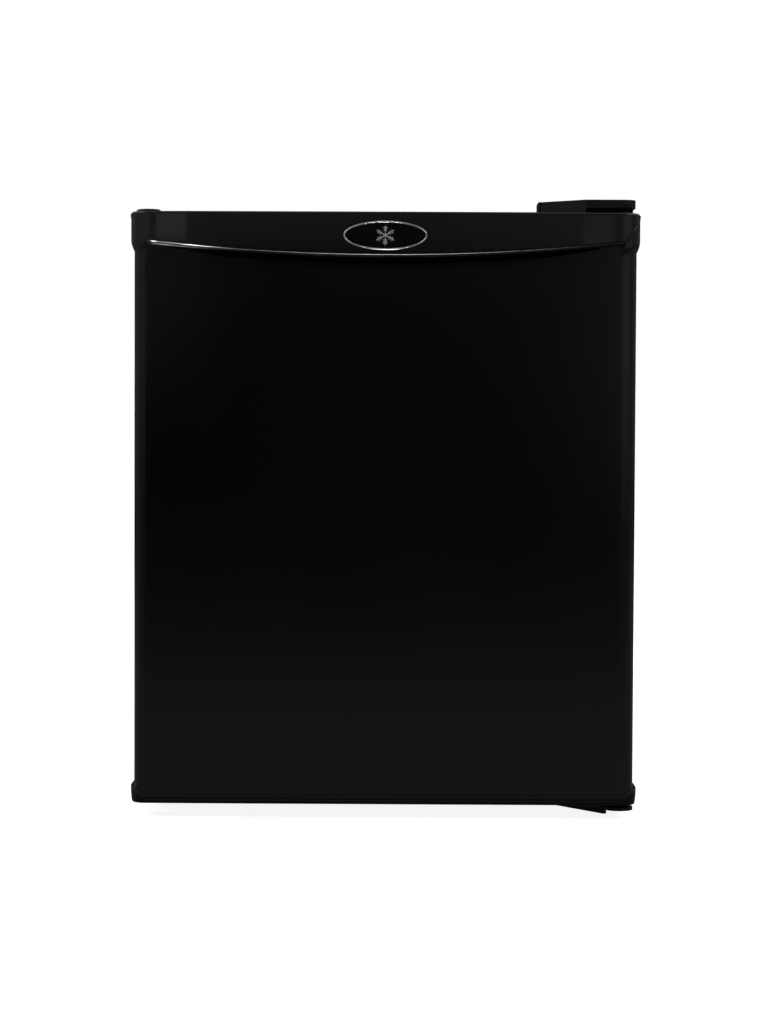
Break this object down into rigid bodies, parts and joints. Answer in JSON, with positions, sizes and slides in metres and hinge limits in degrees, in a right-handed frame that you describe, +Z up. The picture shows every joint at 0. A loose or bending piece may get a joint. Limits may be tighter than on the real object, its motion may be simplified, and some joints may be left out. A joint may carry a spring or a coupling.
{
  "type": "mini fridge",
  "caption": "Compact cube refrigerator with one hinged door, an arched handle lip along its top edge, an ice compartment inside and a wire condenser behind.",
  "frame": {"origin": "floor level, in the middle of the footprint", "axes": "+Z up, -Y out of the door's front face, +X to the right seen from the front (the hinge side)"},
  "size_m": [0.445, 0.47, 0.5435],
  "materials": {
    "black_steel": "gloss black paint on steel sheet",
    "black_cap": "satin black moulded plastic",
    "cover_black": "satin black moulded plastic",
    "white_plastic": "white moulded plastic",
    "clear_plastic": "clear moulded plastic",
    "white_liner": "white vacuum-formed polystyrene",
    "foam": "rigid polyurethane foam",
    "seal_grey": "soft dark grey PVC",
    "magnet": "magnet-filled strip",
    "nylon": "black nylon",
    "bright_metal": "bright plated",
    "badge_black": "gloss black",
    "zinc_steel": "zinc-plated steel",
    "galvanised": "galvanised steel sheet",
    "dark_steel": "black paint on steel",
    "aluminium": "plain aluminium",
    "white_wire": "white coated steel wire",
    "copper": "copper tube",
    "black_rubber": "black rubber",
    "dark_plastic": "black moulded plastic",
    "grey_plastic": "grey plastic and metal switch body"
  },
  "bodies": {
    "cabinet": {"cabinet_wrapper": "black_steel", "base_panel": "galvanised", "rear_panel": "dark_steel", "compartment_panel": "galvanised", "cabinet_liner": "white_liner", "cabinet_foam": "foam", "cabinet_hole_plugs": "black_cap", "upper_hinge_bracket": "dark_steel", "upper_hinge_pin": "dark_steel", "upper_hinge_cover": "cover_black", "upper_hinge_screws": "zinc_steel", "lower_hinge_bracket": "dark_steel", "lower_hinge_pin": "dark_steel", "lower_hinge_screws": "zinc_steel", "evaporator_box": "aluminium", "evaporator_hangers": "white_plastic", "freezer_frame": "white_plastic", "thermostat_housing": "white_plastic", "thermostat_switch": "grey_plastic", "sensor_tube": "copper", "compressor": "dark_steel", "compressor_crossbar": "galvanised", "compressor_grommets": "black_rubber", "compressor_bolts": "zinc_steel", "starter_cover": "dark_plastic", "cord_gland": "black_rubber", "discharge_tube": "copper", "suction_tube": "copper", "filter_drier": "copper", "capillary_tube": "copper", "condenser_tube": "dark_steel", "condenser_wires": "dark_steel", "condenser_standoffs": "dark_plastic", "condenser_screws": "zinc_steel", "wall_spacers": "dark_plastic", "rear_feet": "black_rubber"},
    "door": {"door_skin": "black_steel", "door_top_cap": "black_cap", "door_bottom_cap": "black_cap", "door_foam": "foam", "door_liner": "white_liner", "door_gasket": "seal_grey", "gasket_magnets": "magnet", "upper_hinge_bush": "nylon", "lower_hinge_bush": "nylon", "door_hole_plugs": "black_cap", "badge_rim": "bright_metal", "badge_face": "badge_black"},
    "upper_bin": {"upper_door_bin": "clear_plastic"},
    "lower_bin": {"lower_door_bin": "clear_plastic"},
    "ice_flap": {"freezer_flap": "white_plastic"},
    "tray": {"drip_tray": "white_plastic"},
    "shelf": {"wire_shelf": "white_wire"},
    "temperature_knob": {"thermostat_knob": "white_plastic", "thermostat_shaft": "zinc_steel"},
    "left_foot": {"left_front_foot": "dark_plastic"},
    "right_foot": {"right_front_foot": "dark_plastic"}
  },
  "joints": [
    {"name": "door_swing", "type": "hinge", "parent": "cabinet", "child": "door", "pos_m": [0.208, -0.199, 0], "axis": [0, 0, 1], "range_deg": [0, 120]},
    {"name": "upper_bin_lift", "type": "slide", "parent": "door", "child": "upper_bin", "axis": [0, 0, 1], "range_m": [0, 0.045]},
    {"name": "lower_bin_lift", "type": "slide", "parent": "door", "child": "lower_bin", "axis": [0, 0, 1], "range_m": [0, 0.06]},
    {"name": "ice_flap_swing", "type": "hinge", "parent": "cabinet", "child": "ice_flap", "pos_m": [0, -0.062, 0.478], "axis": [1, 0, 0], "range_deg": [-88, 0]},
    {"name": "drip_tray_slide", "type": "slide", "parent": "cabinet", "child": "tray", "axis": [0, -1, 0], "range_m": [0, 0.09]},
    {"name": "shelf_slide", "type": "slide", "parent": "cabinet", "child": "shelf", "axis": [0, -1, 0], "range_m": [0, 0.06]},
    {"name": "temperature_knob_turn", "type": "hinge", "parent": "cabinet", "child": "temperature_knob", "pos_m": [0.15375, -0.056, 0.437], "axis": [0, 1, 0], "range_deg": [0, 270]},
    {"name": "left_foot_screw", "type": "slide", "parent": "cabinet", "child": "left_foot", "axis": [0, 0, -1], "range_m": [0, 0.008]},
    {"name": "right_foot_screw", "type": "slide", "parent": "cabinet", "child": "right_foot", "axis": [0, 0, -1], "range_m": [0, 0.008]}
  ]
}
